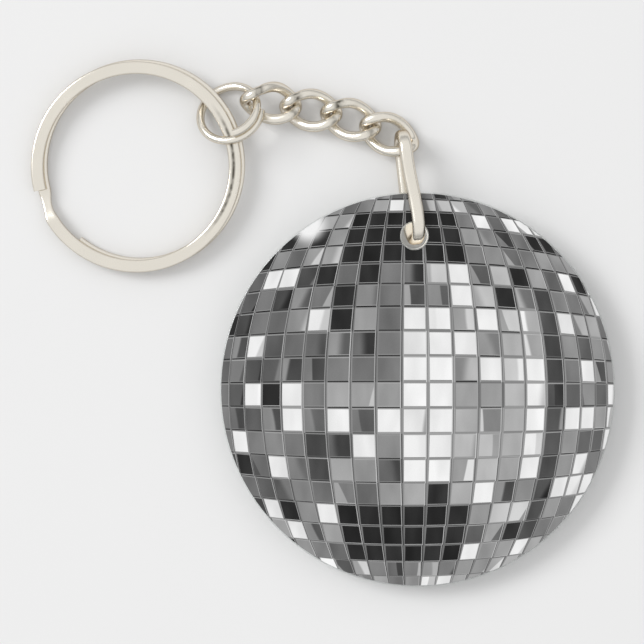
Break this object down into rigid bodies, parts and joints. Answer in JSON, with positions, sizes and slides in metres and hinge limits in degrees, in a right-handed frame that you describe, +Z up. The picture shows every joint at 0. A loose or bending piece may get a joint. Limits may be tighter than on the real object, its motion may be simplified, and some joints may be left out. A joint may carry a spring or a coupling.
{
  "type": "key ring with chain and printed charm",
  "caption": "Split ring joined by a jump ring and a short curb chain to a flat round clear acrylic charm, printed with a grey mirror-ball picture.",
  "frame": {"origin": "middle of the whole outline, on the surface that the key ring lies on", "axes": "+X from the split ring towards the charm, +Y from the charm towards the chain, +Z up off the surface, out of the charm's printed face"},
  "size_m": [0.0753, 0.0681, 0.0058],
  "materials": {
    "ring_nickel": "nickel plated, slightly brushed",
    "chain_nickel": "nickel plated, polished",
    "clear_acrylic": "clear, polished edge",
    "white_ink": "satin printed ink",
    "picture_ink": "glossy printed ink"
  },
  "bodies": {
    "split_ring": {"split_ring": "ring_nickel"},
    "jump_ring": {"jump_ring": "chain_nickel"},
    "link_1": {"chain_link_1": "chain_nickel"},
    "link_2": {"chain_link_2": "chain_nickel"},
    "link_3": {"chain_link_3": "chain_nickel"},
    "link_4": {"chain_link_4": "chain_nickel"},
    "connector": {"connector_loop": "chain_nickel"},
    "charm": {"acrylic_disc": "clear_acrylic", "white_base_print": "white_ink", "picture_print": "picture_ink"}
  },
  "joints": [
    {"name": "jump_ring_travel", "type": "hinge", "parent": "split_ring", "child": "jump_ring", "pos_m": [-0.02383, 0.02019, 0.00174], "axis": [-0.0424, -0.0439, 0.9981], "continuous": true},
    {"name": "link_1_swing", "type": "hinge", "parent": "jump_ring", "child": "link_1", "pos_m": [-0.00856, 0.0287, 0.00324], "axis": [-0.2649, 0.7668, -0.5846], "range_deg": [-50, 50]},
    {"name": "link_2_swing", "type": "hinge", "parent": "link_1", "child": "link_2", "pos_m": [-0.00352, 0.02795, 0.00175], "axis": [0.0596, -0.8257, 0.561], "range_deg": [-25, 40]},
    {"name": "link_3_swing", "type": "hinge", "parent": "link_2", "child": "link_3", "pos_m": [0.00171, 0.0269, 0.00165], "axis": [0.0893, 0.7299, -0.6777], "range_deg": [-40, 25]},
    {"name": "link_4_swing", "type": "hinge", "parent": "link_3", "child": "link_4", "pos_m": [0.00675, 0.02517, 0.00152], "axis": [-0.1818, -0.6619, 0.7272], "range_deg": [-25, 40]},
    {"name": "connector_swing", "type": "hinge", "parent": "link_4", "child": "connector", "pos_m": [0.00984, 0.02323, 0.00154], "axis": [0, 0, 1], "range_deg": [-10, 26]},
    {"name": "charm_swing", "type": "hinge", "parent": "connector", "child": "charm", "pos_m": [0.01183, 0.01116, 0.00278], "axis": [0, -0.0262, 0.9997], "range_deg": [-15, 60]}
  ]
}
